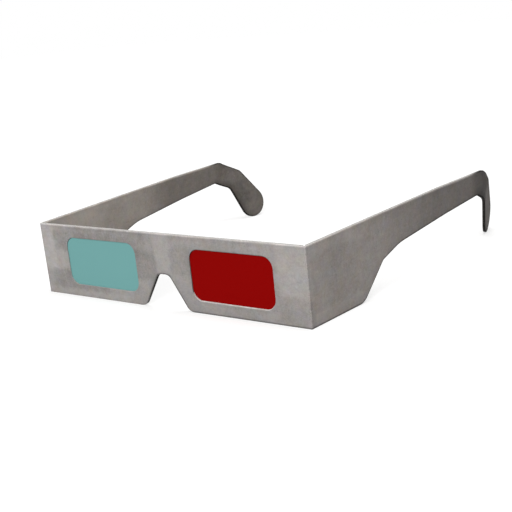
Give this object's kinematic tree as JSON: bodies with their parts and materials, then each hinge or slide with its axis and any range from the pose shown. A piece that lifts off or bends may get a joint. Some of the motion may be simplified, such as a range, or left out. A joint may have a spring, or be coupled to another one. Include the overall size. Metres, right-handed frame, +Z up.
{
  "type": "3d glasses",
  "caption": "Folding card 3D viewing glasses with red and cyan film windows, a nose notch, fold-out arms and bent ear hooks.",
  "frame": {"origin": "under the middle of the outer box, on the surface that the front edge and the hook tips stand on", "axes": "+X to the wearer's left, +Y towards the wearer's ears, +Z up"},
  "size_m": [0.1516, 0.1608, 0.0332],
  "materials": {
    "card": "matt grey card, mottled",
    "lining": "matt grey card, uncoated",
    "glue": "dried clear adhesive",
    "red_film": "deep red film, smooth",
    "cyan_film": "cyan film, smooth"
  },
  "bodies": {
    "front": {"front_card": "card", "rear_card": "lining", "front_glue": "glue", "red_filter": "red_film", "cyan_filter": "cyan_film", "left_fold": "card", "right_fold": "card"},
    "left_arm": {"left_arm_card": "card", "left_arm_glue": "glue", "left_arm_lining": "lining", "left_bend_card": "card", "left_bend_glue": "glue", "left_bend_lining": "lining"},
    "left_hook": {"left_hook_card": "card", "left_hook_glue": "glue", "left_hook_lining": "lining"},
    "right_arm": {"right_arm_card": "card", "right_arm_glue": "glue", "right_arm_lining": "lining", "right_bend_card": "card", "right_bend_glue": "glue", "right_bend_lining": "lining"},
    "right_hook": {"right_hook_card": "card", "right_hook_glue": "glue", "right_hook_lining": "lining"}
  },
  "joints": [
    {"name": "left_arm_fold", "type": "hinge", "parent": "front", "child": "left_arm", "pos_m": [0.06745, -0.0794, 0.01541], "axis": [0, -0.027, 0.9996], "range_deg": [-86.7, 20], "deforming": ["left_fold"]},
    {"name": "left_hook_bend", "type": "hinge", "parent": "left_arm", "child": "left_hook", "pos_m": [0.07524, 0.05543, 0.02684], "axis": [0.018, 0.286, 0.958], "range_deg": [-18.3, 25], "deforming": ["left_bend_card", "left_bend_glue", "left_bend_lining"]},
    {"name": "right_arm_fold", "type": "hinge", "parent": "front", "child": "right_arm", "pos_m": [-0.06745, -0.0794, 0.01541], "axis": [0, 0.027, -0.9996], "range_deg": [-86.7, 20], "deforming": ["right_fold"]},
    {"name": "right_hook_bend", "type": "hinge", "parent": "right_arm", "child": "right_hook", "pos_m": [-0.07524, 0.05543, 0.02684], "axis": [0.018, -0.286, -0.958], "range_deg": [-18.3, 25], "deforming": ["right_bend_card", "right_bend_glue", "right_bend_lining"]}
  ]
}
